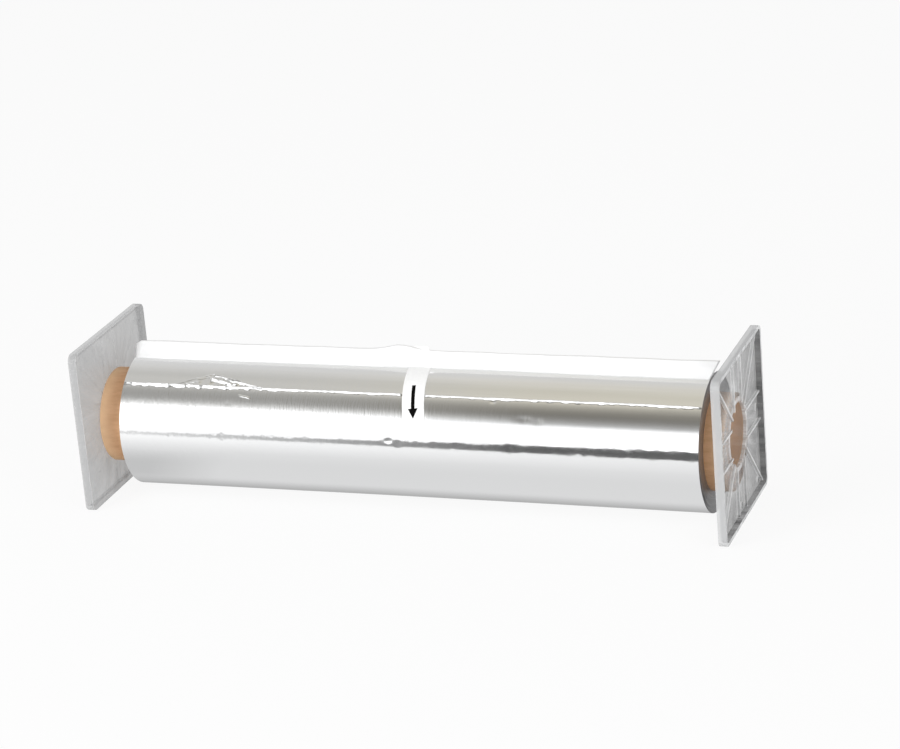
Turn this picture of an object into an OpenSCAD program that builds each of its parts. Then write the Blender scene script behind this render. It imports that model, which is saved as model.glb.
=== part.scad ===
// Catering roll of aluminium foil wound on a card core.
// A square plastic plate with a hub stands at each end and carries the core.
// X runs along the roll, Z is up, and Z = 0 is the plane the plates stand on.
// All sizes are in millimetres.

// Which node to draw, or all of them

/* [Foil] */

// Width of the foil along the roll
foil_width = 300; // [200:1:450]
// Outside diameter of the wound foil
foil_od = 68; // [60:0.5:78]
// Number of ridges the turns show on each end face
turn_ridges = 12; // [6:1:16]
// Depth of the deepest groove between those ridges
ridge_depth = 0.6; // [0.2:0.05:1]
// Thickness the loose end of the last turn is drawn with
sheet_t = 0.35; // [0.3:0.05:0.6]
// Height of the loose end above the roll axis
flap_top = 41.6; // [40:0.1:43]
// Extra height of the bulge in the loose end beside the label
hump_rise = 2.6; // [0:0.1:3.5]
// Position of that bulge along the roll
hump_x = -7; // [-60:1:60]

/* [Core] */

// Outside diameter of the card core
core_od = 48; // [47:0.5:52]
// Wall thickness of the card core
core_wall = 1.8; // [1.5:0.1:2.5]
// Bare core showing beyond the left end of the foil
stub_left = 15.5; // [5:0.5:30]
// Bare core showing beyond the right end of the foil
stub_right = 9.5; // [5:0.5:30]

/* [End plates] */

// Side of the square plate
plate_size = 84; // [82:1:96]
// Depth of the plate at its rim
plate_depth = 4.2; // [3.4:0.1:6]
// Thickness of the plate's web
web_t = 1; // [0.8:0.1:2]
// Thickness of the rim wall
rim_wall = 1.8; // [1.2:0.1:3]
// Corner radius of the plate
corner_r = 4; // [3:0.5:7]
// Thickness of the ribs
rib_t = 1.1; // [0.8:0.1:1.6]
// Height of the ribs above the web
rib_rise = 1.4; // [0.8:0.1:2]
// Distance between the two ribs that run to each side
rib_pair = 14.4; // [10:0.1:20]
// Outside diameter of the hub that enters the core
hub_od = 36; // [32:0.5:40]
// Wall thickness of the hub
hub_wall = 2.1; // [1.5:0.1:3]
// Length of the hub inside the core
hub_len = 22; // [12:1:40]
// Radius of the round ejector pads on the web
pad_r = 1.9; // [1.2:0.1:2.5]

/* [Label] */

// Width of the paper start label
label_w = 11.3; // [6:0.1:20]
// Thickness the label is drawn with
label_t = 0.25; // [0.2:0.05:0.5]
// Angle below the top of the roll where the label ends
label_low = 74; // [60:1:90]
// Sideways run of the label for each unit of height
label_slant = 0.198; // [0:0.001:0.25]
// Thickness of the printed arrow
ink_t = 0.06; // [0.05:0.01:0.1]

/* [Fits] */

// Gap between the hub's top line and the core that hangs on it
hub_clear = 0.1; // [0.05:0.01:0.2]
// Gap between each end of the core and its plate
end_gap = 0.25; // [0.1:0.05:0.5]
// Gap between the label and the foil
label_clear = 0.01; // [0.005:0.005:0.05]

/* [Hidden] */

$fn = 96;
roll_r = foil_od / 2;
core_r = core_od / 2;
core_bore = core_od - 2 * core_wall;
core_len = foil_width + stub_left + stub_right;
foil_x = (stub_left - stub_right) / 2;
plate_x = core_len / 2 + end_gap;
// The core hangs on the hubs, so its axis is below the middle of the plates
axis_z = plate_size / 2 - (core_bore - hub_od) / 2 + hub_clear;
hub_bore = hub_od - 2 * hub_wall;
ring_r = hub_od / 2 + 0.4;
ring_rise = 0.4;
pad_rise = 0.5;
pad_inset = 5;
pad_shift = 3.2;
hub_lead = 2;
hub_taper = 0.8;

// How far joined features reach into each other, and how far a cut runs past what it cuts
lap = 0.5;
cut = 1;

// Where the loose end leaves the roll, its bend and how far it leans back
flap_from = -8;
flap_bend = 0.8;
flap_lean = 18;
clip_w = 3;
clip_h = 2;
edge_slope = 0.0025;
edge_wave = 0.12;
hump_w = 9;
foot_lap = 0.04;

// The arrow's middle, ends and widths on the label
arrow_mid = 46.5;
arrow_len = 17.8;
arrow_w = 1.8;
head_len = 5;
head_w = 5;
label_x = 10;

// Where the label leaves the roll, its gap to the standing foil and how far its top stays below the edge
label_bend = flap_from - 2;
stand_gap = 0.05;
label_drop = 0.4;

// Half lengths of the blanks that the loose end and the label are cut from
flap_blank = flap_top + hump_rise + sheet_t;
label_blank = label_x + label_w + label_slant * foil_od;

// Turns a drawing in the XY plane so that it is extruded along X
module along_x() {
    rotate([90, 0, 90]) children();
}

// Turns a drawing so that its X stays X, its Y becomes Z and it is extruded along Y
module along_y(depth) {
    translate([0, depth / 2, 0]) rotate([90, 0, 0]) linear_extrude(depth) children();
}

// Points on a circle round the roll's axis, from one angle behind the top to another
function arc_points(r, from, to, n) = [
    for (i = [0:n])
        let (a = from + (to - from) * i / n)
        [r * sin(a), r * cos(a)]
];

// Front face of the loose end, moved forward by d: a bend off the roll, then a straight rise
function flap_line(d, rise_z) =
    let (
        t0 = -flap_from,
        t1 = 90 - flap_lean,
        start = (roll_r - foot_lap) * [sin(flap_from), cos(flap_from)],
        bend = [
            for (i = [0:6])
                let (t = t0 + (t1 - t0) * i / 6)
                start + flap_bend * [sin(t) - sin(t0), cos(t0) - cos(t)] + d * [-sin(t), cos(t)]
        ],
        last = bend[6]
    )
    concat(bend, [[last[0] + (rise_z - last[1]) * tan(flap_lean), rise_z]]);

function reversed(v) = [for (i = [len(v) - 1:-1:0]) v[i]];

// Height of the loose end's free edge along the roll
function edge_z(x) =
    flap_top + edge_slope * x + edge_wave * sin(x * 9) * cos(x * 4)
    + hump_rise * exp(-pow((x - hump_x) / hump_w, 2));

module core_tube() {
    color([0.75, 0.59, 0.43])
    translate([0, 0, axis_z])
    along_x()
    translate([0, 0, -core_len / 2])
    difference() {
        cylinder(h = core_len, r = core_r);
        translate([0, 0, -cut]) cylinder(h = core_len + 2 * cut, r = core_bore / 2);
    }
}

// Section of the wound foil: a ring whose ends show the ridges of its turns
module wound_section() {
    half = foil_width / 2;
    step = (roll_r - core_r) / (2 * turn_ridges);
    right = [
        for (i = [0:2 * turn_ridges])
            [core_r + step * i, half - (i % 2) * ridge_depth * (0.55 + 0.45 * sin(i * 67))]
    ];
    left = [for (p = reversed(right)) [p[0], -p[1]]];
    polygon(concat(left, right));
}

// Loose end of the last turn, standing up along the top of the roll
module loose_end() {
    half = foil_width / 2;
    n = 75;
    intersection() {
        translate([-half, 0, 0])
        along_x()
        linear_extrude(foil_width)
        polygon(concat(flap_line(0, flap_blank), reversed(flap_line(-sheet_t, flap_blank))));
        along_y(foil_od)
        polygon(concat(
            [[half, core_r], [-half, core_r], [-half, edge_z(-half) - clip_h]],
            [for (i = [0:n]) let (x = -half + clip_w + (foil_width - clip_w) * i / n) [x, edge_z(x)]]
        ));
    }
}

module foil_roll() {
    color([0.80, 0.81, 0.83])
    translate([foil_x, 0, axis_z])
    union() {
        along_x() rotate_extrude() wound_section();
        loose_end();
    }
}

// The band between two slanted lines that the label and the arrow follow
module slanted_band(w, low, high) {
    polygon([
        [label_x - label_slant * low - w / 2, low],
        [label_x - label_slant * low + w / 2, low],
        [label_x - label_slant * high + w / 2, high],
        [label_x - label_slant * high - w / 2, high]
    ]);
}

module start_label() {
    label_top = edge_z(label_x - label_slant * flap_top - label_w / 2) - label_drop;
    inner = roll_r + label_clear;
    n = ceil((label_low + label_bend) / 3);
    under = concat(
        arc_points(inner, -label_low, label_bend, n),
        [for (i = [1:7]) flap_line(label_clear + stand_gap, label_top)[i]]
    );
    over = concat(
        arc_points(inner + label_t, -label_low, label_bend, n),
        [for (i = [1:7]) flap_line(label_clear + stand_gap + label_t, label_top)[i]]
    );
    color([0.97, 0.97, 0.96])
    translate([foil_x, 0, axis_z])
    intersection() {
        translate([-label_blank, 0, 0])
        along_x()
        linear_extrude(2 * label_blank)
        polygon(concat(under, reversed(over)));
        along_y(1.5 * foil_od) slanted_band(label_w, -roll_r, foil_od);
    }
}

module label_arrow() {
    r = roll_r + label_clear + label_t;
    n = ceil((label_low + label_bend) / 3);
    mid_z = r * cos(arrow_mid);
    slant = atan(label_slant * sin(arrow_mid));
    color([0.07, 0.07, 0.07])
    translate([foil_x, 0, axis_z])
    intersection() {
        translate([-label_blank, 0, 0])
        along_x()
        linear_extrude(2 * label_blank)
        polygon(concat(
            arc_points(r, -label_low, label_bend, n),
            reversed(arc_points(r + ink_t, -label_low, label_bend, n))
        ));
        translate([label_x - label_slant * mid_z, 0, 0])
        rotate([arrow_mid - 90, 0, 0])
        rotate([90, 0, 0])
        rotate([0, 0, slant])
        translate([0, 0, r / 2])
        linear_extrude(r)
        arrow_outline();
    }
}

// Arrow pointing down, drawn round its middle
module arrow_outline() {
    translate([-arrow_w / 2, -arrow_len / 2 + head_len - lap])
    square([arrow_w, arrow_len - head_len + lap]);
    polygon([
        [0, -arrow_len / 2],
        [head_w / 2, -arrow_len / 2 + head_len],
        [-head_w / 2, -arrow_len / 2 + head_len]
    ]);
}

module rounded_square(s, r) {
    square([s - 2 * r, s], center = true);
    square([s, s - 2 * r], center = true);
    for (x = [-1, 1], y = [-1, 1])
        translate([x * (s / 2 - r), y * (s / 2 - r)]) circle(r);
}

// Plate with its inner face at X = 0 and its ribbed side towards +X
module end_plate() {
    inner = plate_size - 2 * rim_wall;
    side_from = 0.75 * ring_r;
    side_len = (plate_size - rim_wall) / 2 - side_from;
    diagonal_from = 0.85 * ring_r;
    diagonal = (plate_size / 2 - corner_r) * sqrt(2) + corner_r - 0.6 * rim_wall;
    difference() {
        union() {
            along_x() linear_extrude(web_t) rounded_square(plate_size, corner_r);
            along_x()
            linear_extrude(plate_depth)
            difference() {
                rounded_square(plate_size, corner_r);
                rounded_square(inner, corner_r - rim_wall);
            }
            along_x() cylinder(h = web_t + ring_rise, r = ring_r);
            along_x()
            rotate_extrude()
            polygon([
                [hub_bore / 2 - lap, -hub_len],
                [hub_od / 2 - hub_taper, -hub_len],
                [hub_od / 2, -hub_len + hub_lead],
                [hub_od / 2, lap],
                [hub_bore / 2 - lap, lap]
            ]);
            for (a = [0:90:270], s = [-1, 1])
                rotate([a, 0, 0])
                translate([lap, s * rib_pair / 2 - rib_t / 2, side_from])
                cube([web_t - lap + rib_rise, rib_t, side_len]);
            for (a = [45:90:315])
                rotate([a, 0, 0])
                translate([lap, -rib_t / 2, diagonal_from])
                cube([web_t - lap + rib_rise, rib_t, diagonal - diagonal_from]);
            for (a = [0:90:270])
                rotate([a, 0, 0])
                translate([lap, 0, plate_size / 2 - pad_inset])
                along_x() cylinder(h = web_t - lap + pad_rise, r = pad_r);
            for (y = [-1, 1], z = [-1, 1])
                translate([lap, y * (plate_size / 2 - pad_inset - pad_shift), z * (plate_size / 2 - pad_inset)])
                along_x() cylinder(h = web_t - lap + pad_rise, r = pad_r);
        }
        translate([-hub_len - cut, 0, 0])
        along_x() cylinder(h = hub_len + plate_depth + 2 * cut, r = hub_bore / 2);
    }
}

module left_end_plate() {
    color([0.80, 0.82, 0.83, 0.6])
    translate([-plate_x, 0, plate_size / 2]) mirror([1, 0, 0]) end_plate();
}

module right_end_plate() {
    color([0.80, 0.82, 0.83, 0.6])
    translate([plate_x, 0, plate_size / 2]) end_plate();
}

core_tube();
foil_roll();
start_label();
label_arrow();
left_end_plate();
right_end_plate();
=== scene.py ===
import math

import bmesh
import bpy
import numpy as np
from mathutils import Matrix, Vector


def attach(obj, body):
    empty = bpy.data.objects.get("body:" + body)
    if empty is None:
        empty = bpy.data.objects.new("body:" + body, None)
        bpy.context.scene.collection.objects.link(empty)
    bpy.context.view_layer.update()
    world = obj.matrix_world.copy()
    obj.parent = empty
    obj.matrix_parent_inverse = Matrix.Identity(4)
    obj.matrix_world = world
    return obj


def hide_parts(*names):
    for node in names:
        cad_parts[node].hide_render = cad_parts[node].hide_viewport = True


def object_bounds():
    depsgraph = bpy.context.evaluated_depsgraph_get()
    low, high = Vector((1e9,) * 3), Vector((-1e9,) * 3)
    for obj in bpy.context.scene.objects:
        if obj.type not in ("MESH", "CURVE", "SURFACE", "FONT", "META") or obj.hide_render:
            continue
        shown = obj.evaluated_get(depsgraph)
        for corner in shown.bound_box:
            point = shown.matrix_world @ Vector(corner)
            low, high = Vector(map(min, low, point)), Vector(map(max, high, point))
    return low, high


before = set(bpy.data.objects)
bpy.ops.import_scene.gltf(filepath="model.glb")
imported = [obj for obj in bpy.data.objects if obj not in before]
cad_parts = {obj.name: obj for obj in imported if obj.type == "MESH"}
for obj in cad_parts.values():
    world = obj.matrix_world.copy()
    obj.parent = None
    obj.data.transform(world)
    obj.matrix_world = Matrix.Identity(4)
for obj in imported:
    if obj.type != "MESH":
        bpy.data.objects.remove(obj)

cad_box = [list(map(float, p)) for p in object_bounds()]
rng = np.random.RandomState(7)

# The looks, camera and studio for an aluminium foil roll between two end plates, built round the CAD nodes.
# Sizes and places are in millimetres up to the camera, and MM turns them into metres.
MM = 0.001

# The roll
AXIS_Z = 37.9
ROLL_R = 34.0
CORE_R = 24.0
FOIL_X = 3.0
HALF_WIDTH = 150.0
PER_DEGREE = math.radians(1) * ROLL_R

# How far the outer turn drawn here lies inside the solid's surface, so that the label lies over it
SKIN = 0.03

# The end plates. A plate's depth is counted outwards from its inner face.
PLATE_DEPTH = 4.2
PLATE_X = cad_box[1][0] / MM - PLATE_DEPTH
PLATE_MID = cad_box[1][2] / MM / 2
WEB_T = 1.0
RIB_TOP = 2.4
RIM_INSIDE = 40.2
HUB_R = 18.0
HUB_BORE_R = 15.9
EDGE_ROUND = 0.32

# The label on the roll: its middle along the roll at the height of the axis, its slant, half its width with
# a little to spare, and the angles between which it lies on the foil
LABEL_X = 10.0
LABEL_SLANT = 0.198
LABEL_HALF = 6.2
LABEL_FROM = -76
LABEL_TO = 5


# Helpers for materials

def link(tree, a, b):
    tree.links.new(a, b)


def feed(tree, socket, value):
    """Link a value to a socket, or set it there when it is a plain number or colour."""
    if isinstance(value, bpy.types.NodeSocket):
        link(tree, value, socket)
    else:
        socket.default_value = value


def bare_material(name):
    """A material with nothing but its output."""
    material = bpy.data.materials.new(name)
    material.use_nodes = True
    tree = material.node_tree
    tree.nodes.clear()
    return material, tree, tree.nodes.new("ShaderNodeOutputMaterial")


def new_material(name):
    """A material with one Principled shader."""
    material, tree, out = bare_material(name)
    shader = tree.nodes.new("ShaderNodeBsdfPrincipled")
    link(tree, shader.outputs["BSDF"], out.inputs["Surface"])
    return material, tree, shader


def node(tree, kind, **settings):
    """A node. Settings that start with in_ are its inputs, by name or number."""
    added = tree.nodes.new(kind)
    for key, value in settings.items():
        if key.startswith("in_"):
            key = key[3:]
            added.inputs[int(key) if key.isdigit() else key].default_value = value
        else:
            setattr(added, key, value)
    return added


def math_node(tree, op, a, b=None, c=None):
    """The result of one operation on sockets or plain numbers."""
    added = node(tree, "ShaderNodeMath", operation=op)
    for i, value in enumerate((a, b, c)):
        if value is not None:
            feed(tree, added.inputs[i], value)
    return added.outputs[0]


def split(tree, vector):
    """The three parts of a vector."""
    added = node(tree, "ShaderNodeSeparateXYZ")
    link(tree, vector, added.inputs[0])
    return added.outputs["X"], added.outputs["Y"], added.outputs["Z"]


def object_place(tree):
    """The place on the object, in metres: as a vector, and as x, y and z."""
    point = node(tree, "ShaderNodeTexCoord").outputs["Object"]
    return (point, *split(tree, point))


def stretched(tree, vector, scale):
    """A vector with each part multiplied by its own scale."""
    added = node(tree, "ShaderNodeMapping", in_Scale=scale)
    link(tree, vector, added.inputs["Vector"])
    return added.outputs["Vector"]


def noise(tree, vector, scale, detail, roughness):
    """Soft random values from 0 to 1."""
    added = node(tree, "ShaderNodeTexNoise", in_Scale=scale, in_Detail=detail, in_Roughness=roughness)
    link(tree, vector, added.inputs["Vector"])
    return added.outputs["Fac"]


def rescale(tree, value, low, high, new_low=0.0, new_high=1.0, smooth=False):
    """Turn values from low to high into values from new_low to new_high, and hold them beyond."""
    added = node(tree, "ShaderNodeMapRange", interpolation_type="SMOOTHSTEP" if smooth else "LINEAR")
    for key, limit in (("From Min", low), ("From Max", high), ("To Min", new_low), ("To Max", new_high)):
        added.inputs[key].default_value = limit
    link(tree, value, added.inputs["Value"])
    return added.outputs["Result"]


def ramp(tree, value, stops):
    """A ramp of greys or colours: each stop is a place from 0 to 1 and a grey or colour."""
    added = node(tree, "ShaderNodeValToRGB")
    elements = added.color_ramp.elements
    while len(elements) < len(stops):
        elements.new(0.5)
    for element, (place, colour) in zip(elements, stops):
        element.position = place
        element.color = (*colour, 1.0) if isinstance(colour, tuple) else (colour, colour, colour, 1.0)
    link(tree, value, added.inputs["Fac"])
    return added.outputs["Color"]


def mix_colour(tree, share, first, second, blend_type="MIX"):
    """The first colour, with a share of the second over it."""
    added = node(tree, "ShaderNodeMix", data_type="RGBA", blend_type=blend_type)
    for i, value in ((0, share), (6, first), (7, second)):
        feed(tree, added.inputs[i], value)
    return added.outputs[2]


def roughen(tree, shader, height, strength, depth):
    """Bumps on a shader, so many millimetres deep."""
    added = node(tree, "ShaderNodeBump", in_Strength=strength, in_Distance=depth * MM)
    link(tree, height, added.inputs["Height"])
    link(tree, added.outputs["Normal"], shader.inputs["Normal"])


def radius(tree, y, z):
    """The distance from an axis, worked out from the two distances across it."""
    squares = [math_node(tree, "POWER", side, 2.0) for side in (y, z)]
    return math_node(tree, "SQRT", math_node(tree, "ADD", *squares))


def above_axis(tree, z):
    """The height over the roll's axis."""
    return math_node(tree, "SUBTRACT", z, AXIS_Z * MM)


# Materials

def foil_material(name, metal, smooth, dull, comb):
    """Foil: how metallic it looks, its least and greatest roughness, and the depth of its rolling lines."""
    material, tree, shader = new_material(name)
    shader.inputs["Base Color"].default_value = (0.90, 0.905, 0.91, 1)
    shader.inputs["Metallic"].default_value = metal
    point, x = object_place(tree)[:2]
    patches = noise(tree, point, 38.0, 3.0, 0.55)
    link(tree, rescale(tree, patches, 0.0, 1.0, smooth, dull), shader.inputs["Roughness"])
    # rolling lines run round the roll, and fade from the left end to the right
    lines = noise(tree, stretched(tree, point, (1100.0, 190.0, 190.0)), 1.0, 2.0, 0.6)
    fade = rescale(tree, x, -120 * MM, 30 * MM, 1.0, 0.15)
    roughen(tree, shader, math_node(tree, "MULTIPLY", lines, fade), 1.0, comb)
    return material


def foil_ends_material():
    """The end faces of the roll, where fine rings show the turns."""
    material, tree, shader = new_material("foil_ends")
    shader.inputs["Metallic"].default_value = 1.0
    shader.inputs["Roughness"].default_value = 0.38
    y, z = object_place(tree)[2:]
    turns = node(tree, "ShaderNodeTexNoise", noise_dimensions="1D", in_Scale=2600.0, in_Detail=3.0,
                 in_Roughness=0.7)
    link(tree, radius(tree, y, above_axis(tree, z)), turns.inputs["W"])
    rings = turns.outputs["Fac"]
    greys = [(0.25, (0.30, 0.30, 0.31)), (0.75, (0.66, 0.66, 0.67))]
    link(tree, ramp(tree, rings, greys), shader.inputs["Base Color"])
    roughen(tree, shader, rings, 0.5, 0.4)
    return material


def card_material():
    """Brown card wound in a spiral, with a darker seam. It is painted paler near both ends and on the
    inside: painted light that stands in for light falling there.
    """
    seam_pitch, light_from, light_to = 62, 154, 162
    material, tree, shader = new_material("card")
    shader.inputs["Roughness"].default_value = 0.72
    point, x, y, z = object_place(tree)
    up = above_axis(tree, z)
    turns = math_node(tree, "DIVIDE", math_node(tree, "ARCTAN2", y, up), 2 * math.pi)
    along = math_node(tree, "DIVIDE", x, seam_pitch * MM)
    spiral = math_node(tree, "FRACT", math_node(tree, "ADD", turns, along))
    seam = ramp(tree, spiral, [(0.0, 0.0), (0.012, 0.35), (0.026, 1.0), (1.0, 1.0)])
    fibre = noise(tree, stretched(tree, point, (0.25, 1.0, 1.0)), 420.0, 5.0, 0.65)
    brown = ramp(tree, fibre, [(0.3, (0.74, 0.405, 0.205)), (0.7, (0.93, 0.555, 0.310))])
    brown = mix_colour(tree, 0.35, brown, seam, "MULTIPLY")
    # painted light: the card is paler towards both ends and on the inside
    from_middle = math_node(tree, "ABSOLUTE", x)
    lit_ends = rescale(tree, from_middle, light_from * MM, light_to * MM, 0.0, 0.75, smooth=True)
    inside = math_node(tree, "LESS_THAN", radius(tree, y, up), (CORE_R - 1) * MM)
    pale = math_node(tree, "MAXIMUM", lit_ends, inside)
    link(tree, mix_colour(tree, pale, brown, (1.0, 0.67, 0.40, 1)), shader.inputs["Base Color"])
    roughen(tree, shader, math_node(tree, "MULTIPLY_ADD", fibre, 0.25, seam), 0.45, 0.3)
    return material


def above(tree, value, limit):
    """1 where a value is over a limit in millimetres, and 0 elsewhere."""
    return math_node(tree, "GREATER_THAN", value, limit * MM)


def below(tree, value, limit):
    """1 where a value is under a limit in millimetres, and 0 elsewhere."""
    return math_node(tree, "LESS_THAN", value, limit * MM)


def both(tree, *masks):
    """1 where all the masks are 1."""
    mask = masks[0]
    for other in masks[1:]:
        mask = math_node(tree, "MULTIPLY", mask, other)
    return mask


def pick(tree, mask, old, new):
    """Of two pairs, each a grey and how much it covers: the new one where the mask is 1."""
    added = node(tree, "ShaderNodeMix", data_type="VECTOR")
    link(tree, mask, added.inputs[0])
    for i, pair in ((4, old), (5, new)):
        feed(tree, added.inputs[i], (*pair, 0) if isinstance(pair, tuple) else pair)
    return added.outputs[1]


def plate_square(tree, y, z):
    """The greater of the distances across and up from a plate's middle."""
    return math_node(tree, "MAXIMUM", math_node(tree, "ABSOLUTE", y), math_node(tree, "ABSOLUTE", z))


def plastic_material(name, web, painted_hub_light, side, wall, top, skin, hub, lip, painted_streaks, back=None):
    """Clear plastic. Each pair is a grey and how much of it covers what is behind: for the flat web, the
    web close to the hub, the sides of the ribs, the rim's inner wall, the tops of the ribs and rim, the
    outer edge, the hub and the lip of its mouth. The last pair is for the web's outer face, where that
    differs. The greys differ by part as painted light and shade: lighter greys stand for highlights and
    light through the plastic, darker ones for shade and dark things seen through it."""
    material, tree, shader = new_material(name)
    shader.inputs["IOR"].default_value = 1.46
    tex = node(tree, "ShaderNodeTexCoord")
    point = tex.outputs["Object"]
    x, y, z = split(tree, point)
    z = math_node(tree, "SUBTRACT", z, PLATE_MID * MM)
    deep = math_node(tree, "SUBTRACT", math_node(tree, "ABSOLUTE", x), PLATE_X * MM)
    r = radius(tree, y, z)
    far = plate_square(tree, y, z)
    facing_out = math_node(tree, "ABSOLUTE", split(tree, tex.outputs["Normal"])[0])
    flat = math_node(tree, "GREATER_THAN", facing_out, 0.7)
    steep = math_node(tree, "LESS_THAN", facing_out, 0.7)

    # painted light lies round the hub on the front side, a lighter grey over the web there
    near_hub = rescale(tree, r, (HUB_R + 15) * MM, (HUB_R + 4) * MM, smooth=True)
    at_front = rescale(tree, y, 12 * MM, -10 * MM, smooth=True)
    look = pick(tree, both(tree, near_hub, at_front), web, painted_hub_light)
    look = pick(tree, flat, side, look)
    if back:
        look = pick(tree, both(tree, flat, above(tree, deep, WEB_T / 2)), look, back)
    look = pick(tree, both(tree, flat, above(tree, deep, RIB_TOP - 0.5)), look, top)
    mouth_ring = both(tree, flat, above(tree, deep, WEB_T + 0.2), below(tree, r, HUB_R + 0.6))
    look = pick(tree, mouth_ring, look, top)
    look = pick(tree, both(tree, steep, above(tree, far, RIM_INSIDE - 0.75)), look, wall)
    outside = both(tree, steep, above(tree, far, RIM_INSIDE + 0.3))
    look = pick(tree, outside, look, skin)
    look = pick(tree, both(tree, below(tree, r, HUB_R + 0.3), below(tree, deep, -0.1)), look, hub)
    look = pick(tree, both(tree, below(tree, r, HUB_BORE_R + 0.4), above(tree, deep, -0.1)), look, lip)
    grey, cover = split(tree, look)[:2]

    # faint painted streaks of light and shade run out from the hub, but not on the outer edge
    outward = node(tree, "ShaderNodeCombineXYZ")
    for i, (op, first, second) in enumerate((("DIVIDE", y, r), ("DIVIDE", z, r), ("MULTIPLY", r, 6.0))):
        link(tree, math_node(tree, op, first, second), outward.inputs[i])
    streaks = noise(tree, outward.outputs[0], 7.0, 4.0, 0.7)
    streak_shade = rescale(tree, streaks, 0.3, 0.7, 1 - painted_streaks, 1 + painted_streaks)
    even = node(tree, "ShaderNodeMix", data_type="FLOAT", in_3=1.0)
    link(tree, outside, even.inputs[0])
    link(tree, streak_shade, even.inputs[2])
    streak_shade = even.outputs[0]

    grey = math_node(tree, "MULTIPLY", grey, streak_shade)
    colour = node(tree, "ShaderNodeCombineColor")
    # a touch of blue
    for i, gain in enumerate((1.0, 1.01, 1.02)):
        link(tree, math_node(tree, "MULTIPLY", grey, gain), colour.inputs[i])
    link(tree, colour.outputs[0], shader.inputs["Base Color"])
    link(tree, math_node(tree, "MULTIPLY", cover, streak_shade), shader.inputs["Alpha"])
    link(tree, rescale(tree, streaks, 0.0, 1.0, 0.16, 0.32), shader.inputs["Roughness"])
    roughen(tree, shader, noise(tree, point, 700.0, 2.0, 0.5), 0.08, 0.2)
    return material


def plastic_edge_material(name, dark, light, inner):
    """The rounded edges of a plate, with painted highlights: two greys for those on the rim, and for those
    inside it a grey and how much it covers. The light greys stand for the light the edges catch."""
    inner_grey, inner_cover = inner
    material, tree, shader = new_material(name)
    shader.inputs["IOR"].default_value = 1.46
    shader.inputs["Roughness"].default_value = 0.22
    point, x, y, z = object_place(tree)
    greys = [(0.35, (dark, dark, 1.01 * dark)), (0.65, (light, light, 1.01 * light))]
    bright = ramp(tree, noise(tree, point, 110.0, 3.0, 0.6), greys)
    far = plate_square(tree, y, math_node(tree, "SUBTRACT", z, PLATE_MID * MM))
    rim = above(tree, far, RIM_INSIDE - 0.9)
    colour = mix_colour(tree, rim, (inner_grey, inner_grey, inner_grey, 1), bright)
    link(tree, colour, shader.inputs["Base Color"])
    link(tree, math_node(tree, "MULTIPLY_ADD", rim, 0.85 - inner_cover, inner_cover), shader.inputs["Alpha"])
    return material


def paper_material(name, light, dark):
    """Paper or ink, between two greys."""
    material, tree, shader = new_material(name)
    shader.inputs["Roughness"].default_value = 0.6
    fibre = noise(tree, object_place(tree)[0], 700.0, 4.0, 0.6)
    link(tree, ramp(tree, fibre, [(0.3, dark), (0.7, light)]), shader.inputs["Base Color"])
    roughen(tree, shader, fibre, 0.12, 0.1)
    return material


FOIL = foil_material("foil", 1.0, 0.08, 0.13, 0.09)
LOOSE = foil_material("foil_loose", 0.4, 0.30, 0.40, 0.1)
ENDS = foil_ends_material()
CARD = card_material()
# The two plates are one plastic: these are lit and shaded copies of it, each with its greys painted to match
# how light falls on that plate.
CLEAR_LEFT = plastic_material("clear_plastic_left", web=(0.36, 0.68), painted_hub_light=(0.36, 0.68), side=(0.30, 0.02),
                              wall=(0.28, 0.35), top=(0.36, 0.06), skin=(0.33, 0.60), hub=(0.50, 0.20),
                              lip=(0.50, 0.30), back=(0.36, 0.06), painted_streaks=0.11)
CLEAR_RIGHT = plastic_material("clear_plastic_right", web=(0.13, 0.45), painted_hub_light=(0.72, 0.46), side=(0.75, 0.50),
                               wall=(0.06, 0.70), top=(0.85, 0.65), skin=(0.68, 0.70), hub=(0.85, 0.12),
                               lip=(0.75, 0.65), painted_streaks=0.28)
# lit and shaded copies for the two plates' edges, with painted highlights
EDGE_LEFT = plastic_edge_material("plastic_edge_left", 0.66, 0.95, (0.36, 0.08))
EDGE_RIGHT = plastic_edge_material("plastic_edge_right", 0.50, 0.86, (0.90, 0.72))
PAPER = paper_material("label_paper", (0.95, 0.95, 0.945), (0.91, 0.91, 0.905))
INK = paper_material("ink", 0.004, 0.002)
INK.node_tree.nodes["Principled BSDF"].inputs["Specular IOR Level"].default_value = 0.04

for name, material in (("core_tube", CARD), ("foil_roll", FOIL), ("start_label", PAPER),
                       ("label_arrow", INK), ("left_end_plate", CLEAR_LEFT),
                       ("right_end_plate", CLEAR_RIGHT)):
    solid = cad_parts[name]
    solid.data.materials.clear()
    solid.data.materials.append(material)


# Helpers for meshes. X is the distance from the middle of the foil, and P the angle in degrees behind the
# top of the roll, so that the front has negative angles.

def ripple(X, P, cell, cells_round, seed):
    """Smooth random values from -1 to 1 over the roll: cells of the given length along it, and so many
    round it."""
    reach = HALF_WIDTH + 2
    grid = np.random.RandomState(seed).uniform(-1, 1, (int(2 * reach / cell) + 3, cells_round))
    u = (X + reach) / cell
    v = (P % 360) / 360 * cells_round
    i = np.floor(u).astype(int)
    j = np.floor(v).astype(int)
    fu = u - i
    fv = v - j
    fu = fu * fu * (3 - 2 * fu)
    fv = fv * fv * (3 - 2 * fv)
    j, after = j % cells_round, (j + 1) % cells_round
    low = grid[i, j] * (1 - fv) + grid[i, after] * fv
    high = grid[i + 1, j] * (1 - fv) + grid[i + 1, after] * fv
    return low * (1 - fu) + high * fu


def ripple_along(X, cell, seed):
    """Smooth random values from -1 to 1 that change only along the roll."""
    return ripple(X, 0 * X, cell, 1, seed)


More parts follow.
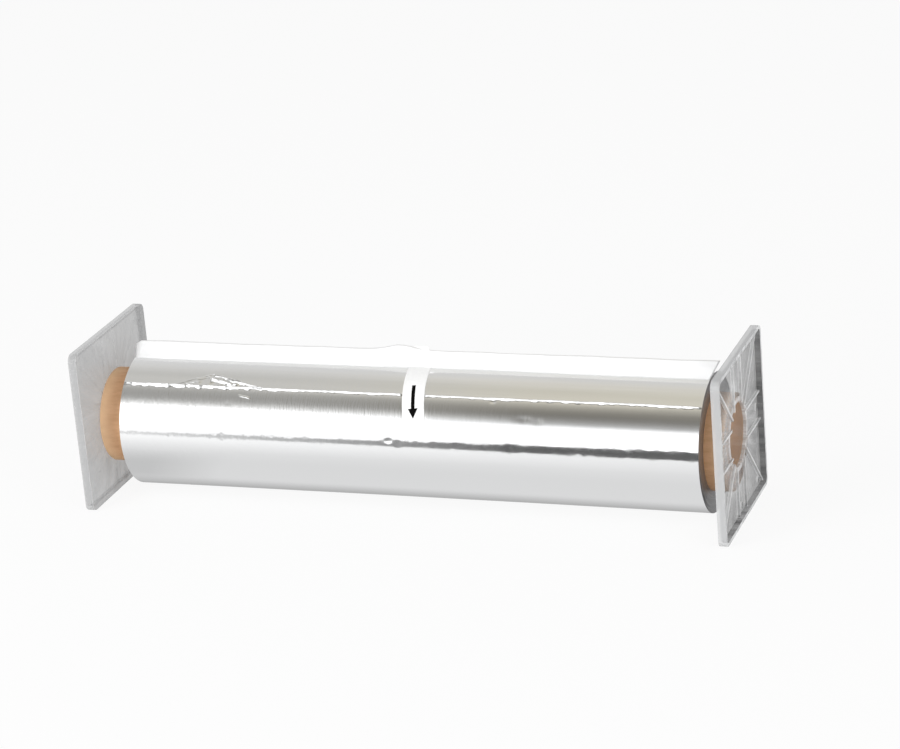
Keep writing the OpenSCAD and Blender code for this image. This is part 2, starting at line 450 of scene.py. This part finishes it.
def mesh_object(name, verts, faces, material_index, materials, smooth=True):
    """A new piece. material_index says for each face which of the materials it has."""
    mesh = bpy.data.meshes.new(name)
    mesh.from_pydata([tuple(vert) for vert in verts], [], [tuple(face) for face in faces])
    for material in materials:
        mesh.materials.append(material)
    mesh.polygons.foreach_set("material_index", material_index)
    mesh.polygons.foreach_set("use_smooth", [smooth] * len(faces))
    mesh.validate()
    mesh.update()
    piece = bpy.data.objects.new(name, mesh)
    bpy.context.scene.collection.objects.link(piece)
    return piece


def grid_faces(rows, columns, closed=False, start=0, flip=False):
    """The faces of a grid of points that are numbered row by row. Closed, each row is a ring."""
    faces = []
    for i in range(rows - 1):
        here, there = start + i * columns, start + (i + 1) * columns
        for j in range(columns if closed else columns - 1):
            k = (j + 1) % columns
            face = [here + j, here + k, there + k, there + j]
            faces.append(face[::-1] if flip else face)
    return faces


def on_roll(X, P, r):
    """Points on the roll, r from its axis, in metres."""
    a = np.radians(P)
    points = [(X + FOIL_X) * MM, r * np.sin(a) * MM, (AXIS_Z + r * np.cos(a)) * MM]
    return np.stack(points, -1).reshape(-1, 3)


def ramp_up(v, start, end):
    """0 at start and before it, and 1 at end and beyond."""
    return np.clip((v - start) / (end - start), 0, 1)


def apply_modifiers(piece):
    bpy.context.view_layer.objects.active = piece
    piece.select_set(True)
    for modifier in list(piece.modifiers):
        bpy.ops.object.modifier_apply(modifier=modifier.name)
    piece.select_set(False)


# The wound foil

# Small dents in the outer turn: X, P, their half sizes along and round, and their depth
DENTS = [(-6, -80.5, 1.6, 2.0, 0.15), (-1, -83, 1.6, 2.4, 0.07), (57, -83, 3.0, 4, 0.08),
         (112, -78, 2.2, 4, 0.08), (143, -81, 1.6, 2.0, 0.04), (63, -57.5, 4.0, 2.2, 0.07),
         (70, -59, 2.2, 2.2, 0.05), (-92, -55, 2.2, 1.6, 0.05), (-95, -84, 4.0, 4, 0.05),
         (-60, -80, 4.0, 4, 0.04), (28, -85, 3.0, 4, 0.05), (90, -86, 4.0, 4, 0.05),
         (-94.5, -37.4, 0.7, 1.2, 0.30), (-91, -37.8, 0.6, 1.1, 0.30), (-87.2, -38.2, 0.8, 1.1, 0.32),
         (-83.4, -38.6, 0.6, 1.0, 0.26), (-80, -39, 0.7, 1.0, 0.24), (46, -44, 0.8, 1.2, 0.12)]

# Folds of the crumpled patch and of a flake below it: both ends as X and P, the height, and the widths of
# the upper and lower flanks
FOLDS = [((-103, -28.4), (-74, -41), 0.84, 0.35, 1.58),
         ((-104, -33.0), (-88, -38.8), 0.92, 0.40, 1.80),
         ((-106, -30.8), (-96, -34.0), 0.26, 0.30, 1.00),
         ((-112, -34.6), (-103, -31.6), 0.20, 0.40, 0.85),
         ((-121, -39.8), (-102.5, -28.6), 0.16, 0.50, 0.32),
         ((-117, -39.4), (-108, -36.0), 0.20, 0.50, 0.38),
         ((-87, -47.6), (-80, -50.4), 0.24, 0.30, 0.45)]

# The angle of the creased line along the front
LINE_P = -40.5

# The mesh is finest where the foil is creased: X or P from which each step holds, and the step
STEPS_ALONG = [(-150, 0.7), (-121, 0.45), (-74, 0.9)]
STEPS_ROUND = [(-116, 1.9), (-88, 0.9), (-73, 1.5), (-51, 0.6), (-44, 0.24), (-39, 0.3), (-27, 2.1),
               (28, 4.3)]
ROUND_END = 242.5
END_RINGS = 20


def stepped(steps, end):
    """Values from the first start to the end, with each step from its own start to the next."""
    stops = [start for start, step in steps[1:]] + [end]
    return np.concatenate([np.arange(start, stop, step) for (start, step), stop in zip(steps, stops)])


def tent(u, up, low):
    """A sharp fold across u: 1 at its crest, 0 at the foot of its upper and lower flanks."""
    return np.maximum(0, 1 - np.where(u > 0, u / up, -u / low))


def sag(X, P):
    """The slack of the outer turns, which hangs at the bottom of the roll, most at its ends."""
    lowest, spread = 195, 48
    return (0.62 + 0.28 * (X / HALF_WIDTH) ** 2) * np.exp(-(((P % 360) - lowest) / spread) ** 2)


def grain(X, P):
    """The gentle unevenness of a wound roll, with scratches where the foil mirrors the studio's gap."""
    uneven = 0.030 * ripple(X, P, 44, 5, 1) + 0.010 * ripple(X, P, 8, 16, 2)
    fine = 0.0035 * ripple(X, P, 2.4, 60, 3)
    scratches = 0.020 * np.exp(-((P + 81) / 8) ** 2) * ripple(X, P, 1.6, 110, 13)
    return uneven + fine + scratches


def creased_line(X, P):
    """A creased line with small teeth that runs along the front, a little higher at the left."""
    line = LINE_P + 0.22 * ripple_along(X, 12, 4) + 0.10 * ripple_along(X, 1.4, 5)
    left = ramp_up(-X, 60, 100)
    high = (0.53 + 0.22 * ripple_along(X, 1.4, 6)) * (1 + 0.15 * left)
    slope = 0.56 - 0.14 * left + 0.12 * ripple_along(X, 1.8, 16)
    return high * tent((P - line) * PER_DEGREE, 0.30, high / slope)


def crease(X, P, a, b, high, up, low):
    """A raised fold in the foil from a to b: its height, and how wide its upper and lower flanks are.
    It tapers at both ends."""
    taper = 1.5
    ax, ay, bx, by = a[0], a[1] * PER_DEGREE, b[0], b[1] * PER_DEGREE
    length = math.hypot(bx - ax, by - ay)
    dx, dy = (bx - ax) / length, (by - ay) / length
    along = (X - ax) * dx + (P * PER_DEGREE - ay) * dy
    over = (P * PER_DEGREE - ay) * dx - (X - ax) * dy
    return high * ramp_up(along, 0, taper) * ramp_up(length - along, 0, taper) * tent(over, up, low)


def crumple(X, P):
    """A crumpled patch near the left end: folds, and facets in a low triangle on the creased line."""
    left, peak_x, peak_p = -121, -102, -28.5
    roof = peak_p - np.where(X < peak_x, (peak_x - X) * 0.60, (X - peak_x) * 0.45)
    inside = ramp_up(roof - P, 0, 1.2) * ramp_up(P, LINE_P + 0.3, LINE_P + 1.1) * ramp_up(X, left, left + 3)
    facets = ripple(X, P, 3.4, 70, 7) + 0.5 * ripple(X, P, 1.7, 150, 8)
    height = inside * (0.15 + 0.10 * ramp_up(X, -106, -100)) * facets
    # the folds wander a little
    fold_x = X + 0.4 * ripple(X, P, 3, 60, 14)
    fold_p = P + 0.5 * ripple(X, P, 2.4, 60, 15)
    for fold in FOLDS:
        height += crease(fold_x, fold_p, *fold)
    return height


def dents(X, P):
    """How deep the small dents are, with uneven edges."""
    hollows = [depth * np.exp(-((X - x) / along) ** 2 - ((P - p) / around) ** 2)
               for x, p, along, around, depth in DENTS]
    return sum(hollows) * (1 + 0.6 * ripple(X, P, 1.6, 120, 9))


def under_label(X, P):
    """1 where the label lies on the foil, 0 elsewhere."""
    middle = LABEL_X - LABEL_SLANT * ROLL_R * np.cos(np.radians(P))
    return np.exp(-((X - middle) / LABEL_HALF) ** 30) * (P > LABEL_FROM) * (P < LABEL_TO)


def end_face(side, phis, start):
    """An end face of the roll, with the ridges of its turns."""
    rings = np.linspace(ROLL_R - SKIN, CORE_R + 0.02, END_RINGS)
    depth = rng.uniform(0.05, 0.55, END_RINGS)
    depth[0] = 0
    R, P = np.meshgrid(rings, phis, indexing="ij")
    R = R + sag(HALF_WIDTH, P) * (R - CORE_R) / (ROLL_R - CORE_R)
    verts = on_roll(side * (HALF_WIDTH - depth[:, None] * np.ones_like(P)), P, R)
    return verts, grid_faces(END_RINGS, len(phis), closed=True, start=start, flip=side > 0)


def build_roll():
    """The outer turn with its creases, and the two end faces."""
    xs = np.append(stepped(STEPS_ALONG, HALF_WIDTH), HALF_WIDTH)
    phis = stepped(STEPS_ROUND, ROUND_END)
    X, P = np.meshgrid(xs, phis, indexing="ij")
    slack = sag(X, P)
    relief = grain(X, P) + creased_line(X, P) + crumple(X, P) - dents(X, P)
    # the foil lies flat under the label, and the ends stay round
    label = under_label(X, P)
    height = (slack + relief) * (1 - label) - 0.008 * label
    height = slack + (height - slack) * ramp_up(HALF_WIDTH - abs(X), 0, 2)
    verts = [on_roll(X, P, ROLL_R - SKIN + height)]
    faces = grid_faces(len(xs), len(phis), closed=True)
    material_index = [0] * len(faces)
    for side in (-1, 1):
        end_verts, end_faces = end_face(side, phis, sum(map(len, verts)))
        verts.append(end_verts)
        faces += end_faces
        material_index += [1] * len(end_faces)
    return mesh_object("foil_turns", np.concatenate(verts), faces, material_index, [FOIL, ENDS])


def loose_edge(X):
    """The height of the loose end's edge over the axis: nearly level, with a hump near the label."""
    level, hump_rise, hump_x, hump_width = 41.6, 2.6, -7, 9
    wave = 0.12 * np.sin(np.radians(X * 9)) * np.cos(np.radians(X * 4))
    return level + 0.0025 * X + wave + hump_rise * np.exp(-((X - hump_x) / hump_width) ** 2)


def build_loose_end():
    """The loose end of the last turn: folded up from the roll near its top, it stands and leans back."""
    rows, top_y, foot_r = 15, -1.58, ROLL_R - 0.12
    xs = np.linspace(-HALF_WIDTH, HALF_WIDTH, 301)[:, None]
    rise = np.linspace(0, 1, rows)[None, :]
    # the fold's angle: it bends back a little right of the middle, and forward towards the left end
    foot = -9.2 + 1.0 * np.exp(-((xs - 35) / 35) ** 2) - 1.6 * ramp_up(-xs, 0, HALF_WIDTH)
    foot = np.radians(foot)
    # the free corner at the right is pulled out over the bare core, the left one a little, and lower
    X = xs + rise * (4.5 * ramp_up(xs, 90, 150) ** 2 - 0.7 * ramp_up(-xs, 90, 150) ** 2)
    top_z = loose_edge(xs) - 2 * ramp_up(-xs, 147, 150)
    Y = foot_r * np.sin(foot) * (1 - rise) + top_y * rise
    Z = foot_r * np.cos(foot) * (1 - rise) + top_z * rise
    up = rise * np.ones_like(X)
    Y = Y + up * (0.22 * ripple(X, 40 * up, 26, 9, 11) + 0.10 * ripple(X, 40 * up, 6, 30, 12))
    verts = np.stack([(X + FOIL_X) * MM, Y * MM, (AXIS_Z + Z) * MM], -1).reshape(-1, 3)
    faces = grid_faces(len(xs), rows)
    piece = mesh_object("foil_loose_end", verts, faces, [0] * len(faces), [LOOSE])
    thick = piece.modifiers.new("thick", "SOLIDIFY")
    thick.thickness = 0.03 * MM
    thick.offset = -1
    apply_modifiers(piece)
    return piece


def build_plate(name, material, edge):
    """The plate with its edges rounded."""
    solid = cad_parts[name]
    mesh = solid.data.copy()
    mesh.materials.clear()
    mesh.materials.append(material)
    mesh.materials.append(edge)
    shape = bmesh.new()
    shape.from_mesh(mesh)
    bmesh.ops.remove_doubles(shape, verts=shape.verts, dist=1e-6)
    bmesh.ops.dissolve_limit(shape, angle_limit=math.radians(1), verts=shape.verts, edges=shape.edges)
    shape.to_mesh(mesh)
    shape.free()
    piece = bpy.data.objects.new(name + "_clear", mesh)
    bpy.context.scene.collection.objects.link(piece)
    piece.matrix_world = solid.matrix_world
    rounded = piece.modifiers.new("round", "BEVEL")
    rounded.width = EDGE_ROUND * MM
    rounded.segments = 2
    rounded.limit_method = "ANGLE"
    rounded.angle_limit = math.radians(35)
    rounded.use_clamp_overlap = True
    rounded.material = 1
    apply_modifiers(piece)
    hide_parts(name)
    return piece


for piece in (build_roll(), build_loose_end()):
    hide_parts("foil_roll")
    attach(piece, "roll")

for name, material, edge, body in (("left_end_plate", CLEAR_LEFT, EDGE_LEFT, "left_plate"),
                                   ("right_end_plate", CLEAR_RIGHT, EDGE_RIGHT, "right_plate")):
    piece = build_plate(name, material, edge)
    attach(piece, body)


# The camera, fitted to the photo: angles in degrees, distance in metres. The picture's middle is moved by so
# many pixels from the point that the camera faces. From here on, lengths are in metres.
AZIMUTH, ELEVATION, TILT = 20.2446, 19.8413, -4.7782
DISTANCE = 1.57468
FOCAL_PX = 3168.4
PICTURE_PX = 900
SHIFT_PX = (-27.612, 45.127)
SENSOR_MM = 36


def build_camera():
    az, el, tilt = (math.radians(a) for a in (AZIMUTH, ELEVATION, TILT))
    back = Vector((math.sin(az) * math.cos(el), -math.cos(az) * math.cos(el), math.sin(el)))
    level_right = Vector((math.cos(az), math.sin(az), 0))
    level_up = back.cross(level_right)
    right = level_right * math.cos(tilt) + level_up * math.sin(tilt)
    up = level_up * math.cos(tilt) - level_right * math.sin(tilt)
    across, upward = (shift * DISTANCE / FOCAL_PX for shift in SHIFT_PX)
    aim = Vector((FOIL_X * MM, 0, PLATE_MID * MM))
    place = aim + back * DISTANCE - right * across + up * upward
    camera = bpy.data.objects.new("camera", bpy.data.cameras.new("camera"))
    camera.data.sensor_width = SENSOR_MM
    camera.data.lens = FOCAL_PX / PICTURE_PX * SENSOR_MM
    camera.data.clip_end = 50
    camera.matrix_world = Matrix(((right.x, up.x, back.x, place.x), (right.y, up.y, back.y, place.y),
                                  (right.z, up.z, back.z, place.z), (0, 0, 0, 1)))
    bpy.context.scene.collection.objects.link(camera)
    bpy.context.scene.camera = camera


build_camera()


# Background and floor

def white_when_seen(tree, plain, white, out, seen=1.0):
    """White for a share of the camera rays and for all glossy and transmission rays; plain for the rest."""
    rays = node(tree, "ShaderNodeLightPath").outputs
    by_camera = math_node(tree, "MULTIPLY", rays["Is Camera Ray"], seen)
    by_shine = math_node(tree, "MAXIMUM", rays["Is Glossy Ray"], rays["Is Transmission Ray"])
    added = node(tree, "ShaderNodeMixShader")
    link(tree, math_node(tree, "MAXIMUM", by_camera, by_shine), added.inputs[0])
    link(tree, plain, added.inputs[1])
    link(tree, white, added.inputs[2])
    link(tree, added.outputs[0], out.inputs["Surface"])


def build_world():
    """White to the camera, and a softer light on everything."""
    world = bpy.data.worlds.new("studio")
    bpy.context.scene.world = world
    world.use_nodes = True
    tree = world.node_tree
    tree.nodes.clear()
    out = tree.nodes.new("ShaderNodeOutputWorld")
    soft = node(tree, "ShaderNodeBackground", in_Color=(1, 1, 1, 1), in_Strength=0.46)
    white = node(tree, "ShaderNodeBackground", in_Color=(1, 1, 1, 1), in_Strength=1.0)
    white_when_seen(tree, soft.outputs[0], white.outputs[0], out)


# The floor as the foil mirrors it has a painted shadow: it is darker near the roll. Each stop is a distance
# in front or behind, as a share of FLOOR_REACH, and a brightness or a share.
FLOOR_REACH = 0.2
FLOOR_SHADE = [(0.05, 0.47), (0.074, 0.56), (0.086, 0.61), (0.098, 0.67), (0.11, 0.73), (0.123, 0.765),
               (0.26, 0.76), (0.39, 0.81), (0.46, 0.86), (0.565, 0.91), (0.73, 0.96), (1.0, 1.0)]
FLOOR_NEAR = [(0.07, 0), (0.13, 1), (0.22, 1), (0.38, 0)]
FLOOR_FAR = [(0.36, 0), (0.70, 0.40)]


def floor_material():
    material, tree, out = bare_material("studio_floor")
    plain = node(tree, "ShaderNodeBsdfDiffuse", in_Color=(0.93, 0.93, 0.93, 1))
    white = node(tree, "ShaderNodeEmission", in_Color=(1, 1, 1, 1), in_Strength=1.0)
    x, y = object_place(tree)[1:3]
    apart = math_node(tree, "MULTIPLY", math_node(tree, "ABSOLUTE", y), 1 / FLOOR_REACH)
    # painted shadow: darker still under the left end, and farther off a little lighter at the left than at
    # the right
    left_end = rescale(tree, x, -0.105, -0.145, 0.0, 0.22)
    near_roll = math_node(tree, "MULTIPLY", ramp(tree, apart, FLOOR_NEAR), left_end)
    far_off = math_node(tree, "MULTIPLY", ramp(tree, apart, FLOOR_FAR), x)
    keep = math_node(tree, "SUBTRACT", 1.0, math_node(tree, "ADD", near_roll, far_off))
    mirrored = math_node(tree, "MULTIPLY", ramp(tree, apart, FLOOR_SHADE), keep)
    is_glossy = node(tree, "ShaderNodeLightPath").outputs["Is Glossy Ray"]
    link(tree, mix_colour(tree, is_glossy, (1, 1, 1, 1), mirrored), white.inputs["Color"])
    white_when_seen(tree, plain.outputs[0], white.outputs[0], out, 0.9)
    return material


def build_floor():
    half = 6
    corners = [(-half, -half, 0), (half, -half, 0), (half, half, 0), (-half, half, 0)]
    return mesh_object("studio_floor", corners, [(0, 1, 2, 3)], [0], [floor_material()], False)


build_world()
build_floor()


# The studio that the foil mirrors: a glowing arc round the roll that only shiny surfaces show, a painted
# reflection of soft boxes, grey walls and dark gaps. Each stop is a direction in degrees behind the point
# over the roll, and a brightness.
# What the left end of the roll mirrors differs from what the right end does.
ARC_LEFT = [(-60, 1.6), (-52, 1.4), (-49, 1.0), (-44, 0.62), (-39, 0.42), (-33, 0.37), (-25, 0.40),
            (-22, 0.44), (-17, 0.60), (-1, 0.60), (9, 0.56), (17, 0.62), (23, 0.68), (35, 0.71),
            (41, 0.76), (47, 0.95), (53, 1.15), (57, 1.3), (70, 1.3), (73, 0.5), (79, 0.45), (82, 1.0)]
ARC_RIGHT = [(-62, 1.6), (-57, 1.05), (-53, 0.50), (-48, 0.33), (-43, 0.24), (-38, 0.22), (-31, 0.27),
             (-26, 0.36), (-22, 0.45), (-18, 0.60), (-9, 0.68), (-1, 0.63), (5, 0.63), (11, 0.68),
             (23, 0.70), (47, 0.69), (53, 0.83), (59, 1.05), (63, 1.3), (70, 1.3), (73, 0.5),
             (79, 0.45), (82, 1.0)]
ARC_MAX = 1.6
ARC_R = 1.6

# The painted reflection's tint, warm overhead, and white at the front and behind: a direction as a share of
# the half circle, and a colour
ARC_WARM = [(0.20, (1, 1, 1)), (0.30, (1, 0.955, 0.84)), (0.40, (1, 0.95, 0.82)), (0.52, (1, 0.955, 0.82)),
            (0.62, (1, 0.965, 0.88)), (0.70, (1, 0.99, 0.97)), (0.8, (1, 1, 1))]

# A dark glowing strip at the front, low over the floor, that paints a dark gap into the reflection: its
# place in front, and its upper edge as x and height
GAP_Y = -0.225
GAP_TOP = [(-0.5, 0.008), (-0.23, 0.014), (-0.196, 0.0165), (-0.161, 0.022), (-0.111, 0.028),
           (-0.021, 0.041), (0.029, 0.047), (0.064, 0.0515), (0.6, 0.054)]


def only_mirrored(piece):
    """Keep a piece of the studio out of the picture, so that only shiny surfaces show it."""
    piece.visible_camera = False
    piece.visible_diffuse = False
    piece.visible_shadow = False
    piece.visible_transmission = False


def glow(tree, out, colour, strength):
    """Make a surface shine by itself."""
    added = tree.nodes.new("ShaderNodeEmission")
    feed(tree, added.inputs["Color"], colour)
    link(tree, strength, added.inputs["Strength"])
    link(tree, added.outputs[0], out.inputs["Surface"])


def arc_material():
    material, tree, out = bare_material("studio_arc")
    point, x, y, z = object_place(tree)
    turn = math_node(tree, "ARCTAN2", y, above_axis(tree, z))
    share = math_node(tree, "MULTIPLY_ADD", turn, 1 / math.pi, 0.5)
    left, right = (ramp(tree, share, [((angle + 90) / 180, bright / ARC_MAX) for angle, bright in stops])
                   for stops in (ARC_LEFT, ARC_RIGHT))
    to_right = rescale(tree, x, -0.68, -0.42)
    colour = mix_colour(tree, to_right, left, right)
    warmth = math_node(tree, "MULTIPLY_ADD", to_right, 0.65, 0.35)
    colour = mix_colour(tree, warmth, colour, ramp(tree, share, ARC_WARM), "MULTIPLY")
    cloud = noise(tree, stretched(tree, point, (9.0, 5.0, 5.0)), 1.0, 3.0, 0.6)
    glow(tree, out, colour, rescale(tree, cloud, 0.0, 1.0, ARC_MAX * 0.86, ARC_MAX * 1.14))
    return material


def build_arc():
    half, parts, first, span = 4, 90, -88, 178
    verts = []
    for i in range(parts + 1):
        a = math.radians(first + span * i / parts)
        for x in (-half, half):
            verts.append((x, ARC_R * math.sin(a), AXIS_Z * MM + ARC_R * math.cos(a)))
    faces = [(2 * i, 2 * i + 1, 2 * i + 3, 2 * i + 2) for i in range(parts)]
    return mesh_object("studio_arc", verts, faces, [0] * parts, [arc_material()], False)


def gap_material():
    """A painted reflection of a dark gap, darker towards the right."""
    material, tree, out = bare_material("studio_gap")
    x = object_place(tree)[1]
    glow(tree, out, (1, 1, 1, 1), rescale(tree, x, -0.23, 0.0, 0.74, 0.12))
    return material


def build_gap():
    outline = [(GAP_TOP[0][0], 0), (GAP_TOP[-1][0], 0)] + GAP_TOP[::-1]
    verts = [(x, GAP_Y, z) for x, z in outline]
    return mesh_object("studio_gap", verts, [tuple(range(len(verts)))], [0], [gap_material()], False)


only_mirrored(build_arc())
only_mirrored(build_gap())


# Lamps

def area_lamp(name, place, target, size, power):
    """A soft lamp, size metres square or wide and high, that shiny surfaces don't mirror."""
    lamp = bpy.data.lights.new(name, "AREA")
    lamp.shape = "RECTANGLE"
    lamp.size, lamp.size_y = size
    lamp.energy = power
    piece = bpy.data.objects.new(name, lamp)
    piece.location = place
    piece.rotation_euler = (Vector(target) - Vector(place)).to_track_quat("-Z", "Y").to_euler()
    piece.visible_camera = False
    piece.visible_glossy = False
    bpy.context.scene.collection.objects.link(piece)


area_lamp("key", (-1.1, -1.2, 1.2), (0, 0, 0.04), (1.0, 1.0), 10)
area_lamp("fill", (1.3, -0.75, 0.55), (0.1, 0, 0.04), (0.8, 0.8), 8)
area_lamp("low", (-0.9, -1.2, 0.35), (-0.155, -0.02, 0.04), (0.5, 0.3), 10)

bpy.context.scene.view_settings.view_transform = "Standard"
